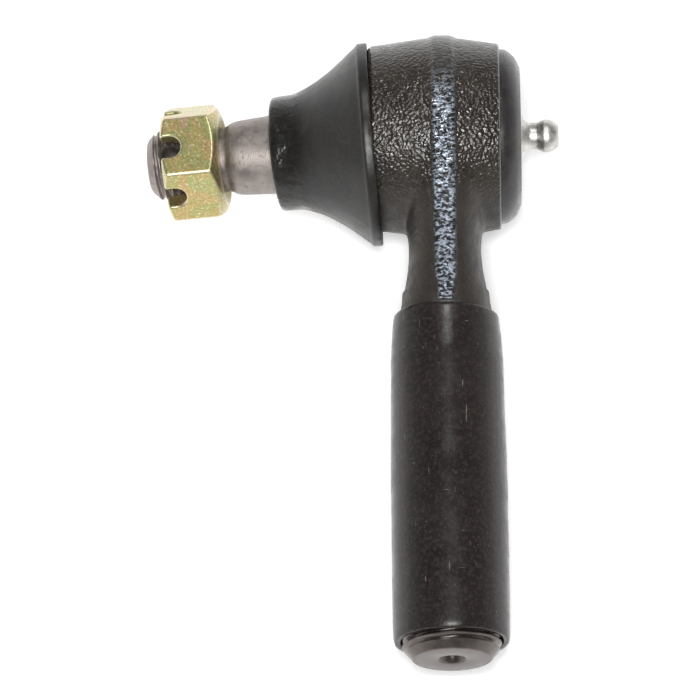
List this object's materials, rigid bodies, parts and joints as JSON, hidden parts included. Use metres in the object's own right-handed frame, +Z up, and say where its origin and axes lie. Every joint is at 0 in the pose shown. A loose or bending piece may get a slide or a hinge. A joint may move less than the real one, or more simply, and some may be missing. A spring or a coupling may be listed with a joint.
{
  "type": "tie rod end",
  "caption": "Greasable steering tie rod end: forged socket with a threaded male shank, tapered ball stud with slotted nut, rubber dust boot and thread sleeve.",
  "frame": {"origin": "centre of the stud's ball", "axes": "+X along the socket axis towards the cap and grease nipple, -Y along the threaded shank, +Z up from the surface it lies on; the stud leans 8.5 degrees from -X at rest"},
  "size_m": [0.0825, 0.1293, 0.0415],
  "materials": {
    "forging": "semi-gloss black paint over forged texture",
    "vinyl_sleeve": "soft satin vinyl",
    "stud_steel": "turned, phosphate grey",
    "nut_chromate": "yellow chromate zinc, iridescent",
    "boot_rubber": "smooth moulded rubber",
    "ring_steel": "plain",
    "bearing_polymer": "moulded, natural",
    "spring_steel": "oiled",
    "plug_steel": "semi-gloss black over stamped steel",
    "nipple_zinc": "bright zinc, turned"
  },
  "bodies": {
    "socket": {"housing": "forging", "upper_bearing": "bearing_polymer", "pressure_spring": "spring_steel", "end_plug": "plug_steel", "grease_nipple_body": "nipple_zinc", "nipple_check_spring": "spring_steel"},
    "seat_and_boot": {"pressure_seat": "bearing_polymer", "dust_boot": "boot_rubber"},
    "boot_collar": {"boot_collar_ring": "ring_steel"},
    "stud": {"ball_stud": "stud_steel"},
    "nut": {"slotted_nut": "nut_chromate"},
    "protector": {"thread_protector": "vinyl_sleeve"},
    "check_ball": {"nipple_check_ball": "spring_steel"}
  },
  "joints": [
    {"name": "stud_swivel", "type": "hinge", "parent": "socket", "child": "seat_and_boot", "pos_m": [0, 0, 0], "axis": [1, 0, 0], "continuous": true},
    {"name": "stud_tilt", "type": "hinge", "parent": "seat_and_boot", "child": "boot_collar", "pos_m": [0, 0, 0], "axis": [0, -0.959, 0.2835], "range_deg": [-28.4, 11.5], "deforming": ["dust_boot"]},
    {"name": "stud_spin", "type": "hinge", "parent": "boot_collar", "child": "stud", "pos_m": [0, 0, 0], "axis": [-0.9891, -0.0418, -0.1414], "continuous": true},
    {"name": "nut_off", "type": "slide", "parent": "stud", "child": "nut", "axis": [-0.9891, -0.0418, -0.1414], "range_m": [0, 0.0165]},
    {"name": "protector_off", "type": "slide", "parent": "socket", "child": "protector", "axis": [0, -1, 0], "range_m": [0, 0.0725]},
    {"name": "check_ball_press", "type": "slide", "parent": "socket", "child": "check_ball", "axis": [-1, 0, 0], "range_m": [0, 0.0012], "stiffness_N_per_m": 150, "springref_m": -0.001, "deforming": ["nipple_check_spring"]}
  ]
}
